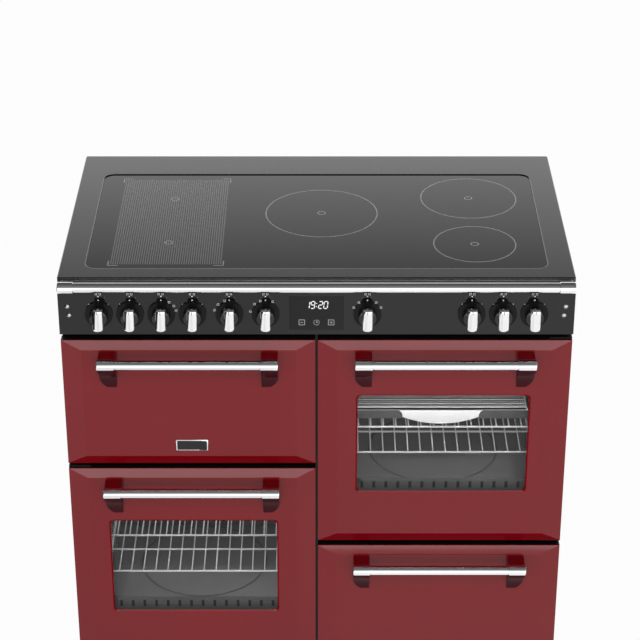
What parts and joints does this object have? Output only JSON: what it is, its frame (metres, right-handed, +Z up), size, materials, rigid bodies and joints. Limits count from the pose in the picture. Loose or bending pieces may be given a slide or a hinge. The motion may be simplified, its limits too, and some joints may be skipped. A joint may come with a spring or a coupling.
{
  "type": "induction range cooker",
  "caption": "Wide free-standing range cooker with a recessed glass induction hob, rotary knobs, a front rail, side-hung glazed ovens and drop-down grill and slow-oven doors.",
  "frame": {"origin": "centre of the cooker's outline on the floor", "axes": "+X to the right seen from the front, -Y out of the front, +Z up"},
  "size_m": [1, 0.646, 0.94],
  "materials": {
    "door_red": "clear-coated dark red enamel",
    "oven_enamel": "speckled dark vitreous enamel",
    "chrome": "polished chrome",
    "shelf_chrome": "bright plated wire",
    "window_glass": "tinted door glass",
    "galvanised": "galvanised sheet",
    "aluminium": "rolled aluminium",
    "circuit_board": "circuit board laminate",
    "carcass_black": "satin black coating",
    "frame_black": "gloss black enamel",
    "steel": "zinc-plated steel",
    "black_plastic": "moulded black plastic",
    "hob_enamel": "gloss dark enamel",
    "hob_glass": "opaque black ceramic glass",
    "copper": "enamelled copper winding",
    "fascia_gloss": "gloss black enamel",
    "display_gloss": "smoked window",
    "insulation_wool": "mineral wool",
    "element_steel": "oxidised element sheath",
    "seal_rubber": "silicone rubber",
    "knob_black": "gloss black with a chrome grip",
    "pan_enamel": "speckled vitreous enamel"
  },
  "bodies": {
    "carcass": {"base_tray": "galvanised", "side_panels": "carcass_black", "rear_panel": "galvanised", "front_frame": "frame_black", "centre_partition": "galvanised", "plinth": "carcass_black", "levelling_feet": "steel", "terminal_box": "black_plastic", "hob_frame": "hob_enamel", "hob_glass": "hob_glass", "coil_tray": "aluminium", "induction_coils": "copper", "power_boards": "circuit_board", "front_rail": "chrome", "control_panel": "fascia_gloss", "display_window": "display_gloss", "control_switches": "black_plastic", "grill_cavity": "oven_enamel", "main_oven_cavity": "oven_enamel", "second_oven_cavity": "oven_enamel", "slow_oven_cavity": "oven_enamel", "insulation": "insulation_wool", "heating_elements": "element_steel", "fan_covers": "oven_enamel", "fan_motors": "steel", "shelf_runners": "shelf_chrome", "hinge_brackets": "frame_black", "door_seals": "seal_rubber"},
    "grill_door": {"grill_door_panel": "door_red", "grill_door_liner": "oven_enamel", "grill_door_handle": "chrome"},
    "main_door": {"main_door_panel": "door_red", "main_door_liner": "oven_enamel", "main_door_handle": "chrome", "main_door_glass": "window_glass"},
    "second_door": {"second_door_panel": "door_red", "second_door_liner": "oven_enamel", "second_door_handle": "chrome", "second_door_glass": "window_glass"},
    "slow_door": {"slow_door_panel": "door_red", "slow_door_liner": "oven_enamel", "slow_door_handle": "chrome"},
    "knob_1": {"knob_1": "knob_black"},
    "knob_2": {"knob_2": "knob_black"},
    "knob_3": {"knob_3": "knob_black"},
    "knob_4": {"knob_4": "knob_black"},
    "knob_5": {"knob_5": "knob_black"},
    "knob_6": {"knob_6": "knob_black"},
    "knob_7": {"knob_7": "knob_black"},
    "knob_8": {"knob_8": "knob_black"},
    "knob_9": {"knob_9": "knob_black"},
    "knob_10": {"knob_10": "knob_black"},
    "main_shelf_lower": {"main_shelf_lower": "shelf_chrome"},
    "main_shelf_upper": {"main_shelf_upper": "shelf_chrome"},
    "second_shelf_lower": {"second_shelf_lower": "shelf_chrome"},
    "second_shelf_upper": {"second_shelf_upper": "shelf_chrome"},
    "grill_pan": {"grill_pan": "pan_enamel"},
    "grill_trivet": {"grill_trivet": "shelf_chrome"},
    "main_oven_fan": {"main_oven_fan": "aluminium"},
    "second_oven_fan": {"second_oven_fan": "aluminium"}
  },
  "joints": [
    {"name": "grill_door_hinge", "type": "hinge", "parent": "carcass", "child": "grill_door", "pos_m": [-0.25125, -0.256, 0.5305], "axis": [1, 0, 0], "range_deg": [0, 90]},
    {"name": "main_door_hinge", "type": "hinge", "parent": "carcass", "child": "main_door", "pos_m": [-0.49, -0.256, 0.2765], "axis": [0, 0, -1], "range_deg": [0, 100]},
    {"name": "second_door_hinge", "type": "hinge", "parent": "carcass", "child": "second_door", "pos_m": [0.49, -0.256, 0.57], "axis": [0, 0, 1], "range_deg": [0, 100]},
    {"name": "slow_door_hinge", "type": "hinge", "parent": "carcass", "child": "slow_door", "pos_m": [0.25125, -0.256, 0.0515], "axis": [1, 0, 0], "range_deg": [0, 80]},
    {"name": "knob_1_turn", "type": "hinge", "parent": "carcass", "child": "knob_1", "pos_m": [-0.4215, -0.275, 0.8655], "axis": [0, 1, 0], "range_deg": [0, 270]},
    {"name": "knob_2_turn", "type": "hinge", "parent": "carcass", "child": "knob_2", "pos_m": [-0.361, -0.275, 0.8655], "axis": [0, 1, 0], "range_deg": [0, 270]},
    {"name": "knob_3_turn", "type": "hinge", "parent": "carcass", "child": "knob_3", "pos_m": [-0.3005, -0.275, 0.8655], "axis": [0, 1, 0], "range_deg": [0, 270]},
    {"name": "knob_4_turn", "type": "hinge", "parent": "carcass", "child": "knob_4", "pos_m": [-0.24, -0.275, 0.8655], "axis": [0, 1, 0], "range_deg": [0, 270]},
    {"name": "knob_5_turn", "type": "hinge", "parent": "carcass", "child": "knob_5", "pos_m": [-0.1685, -0.275, 0.8655], "axis": [0, 1, 0], "range_deg": [0, 270]},
    {"name": "knob_6_turn", "type": "hinge", "parent": "carcass", "child": "knob_6", "pos_m": [-0.0985, -0.275, 0.8655], "axis": [0, 1, 0], "range_deg": [0, 270]},
    {"name": "knob_7_turn", "type": "hinge", "parent": "carcass", "child": "knob_7", "pos_m": [0.0985, -0.275, 0.8655], "axis": [0, 1, 0], "range_deg": [0, 270]},
    {"name": "knob_8_turn", "type": "hinge", "parent": "carcass", "child": "knob_8", "pos_m": [0.3005, -0.275, 0.8655], "axis": [0, 1, 0], "range_deg": [0, 270]},
    {"name": "knob_9_turn", "type": "hinge", "parent": "carcass", "child": "knob_9", "pos_m": [0.361, -0.275, 0.8655], "axis": [0, 1, 0], "range_deg": [0, 270]},
    {"name": "knob_10_turn", "type": "hinge", "parent": "carcass", "child": "knob_10", "pos_m": [0.4215, -0.275, 0.8655], "axis": [0, 1, 0], "range_deg": [0, 270]},
    {"name": "main_shelf_lower_slide", "type": "slide", "parent": "carcass", "child": "main_shelf_lower", "axis": [0, -1, 0], "range_m": [0, 0.035]},
    {"name": "main_shelf_upper_slide", "type": "slide", "parent": "carcass", "child": "main_shelf_upper", "axis": [0, -1, 0], "range_m": [0, 0.035]},
    {"name": "second_shelf_lower_slide", "type": "slide", "parent": "carcass", "child": "second_shelf_lower", "axis": [0, -1, 0], "range_m": [0, 0.035]},
    {"name": "second_shelf_upper_slide", "type": "slide", "parent": "carcass", "child": "second_shelf_upper", "axis": [0, -1, 0], "range_m": [0, 0.035]},
    {"name": "grill_pan_slide", "type": "slide", "parent": "carcass", "child": "grill_pan", "axis": [0, -1, 0], "range_m": [0, 0.025]},
    {"name": "grill_trivet_lift", "type": "slide", "parent": "grill_pan", "child": "grill_trivet", "axis": [0, 0, 1], "range_m": [0, 0.06]},
    {"name": "main_oven_fan_spin", "type": "hinge", "parent": "carcass", "child": "main_oven_fan", "pos_m": [-0.25125, 0.157, 0.285], "axis": [0, 1, 0], "continuous": true},
    {"name": "second_oven_fan_spin", "type": "hinge", "parent": "carcass", "child": "second_oven_fan", "pos_m": [0.25125, 0.157, 0.5785], "axis": [0, 1, 0], "continuous": true}
  ]
}
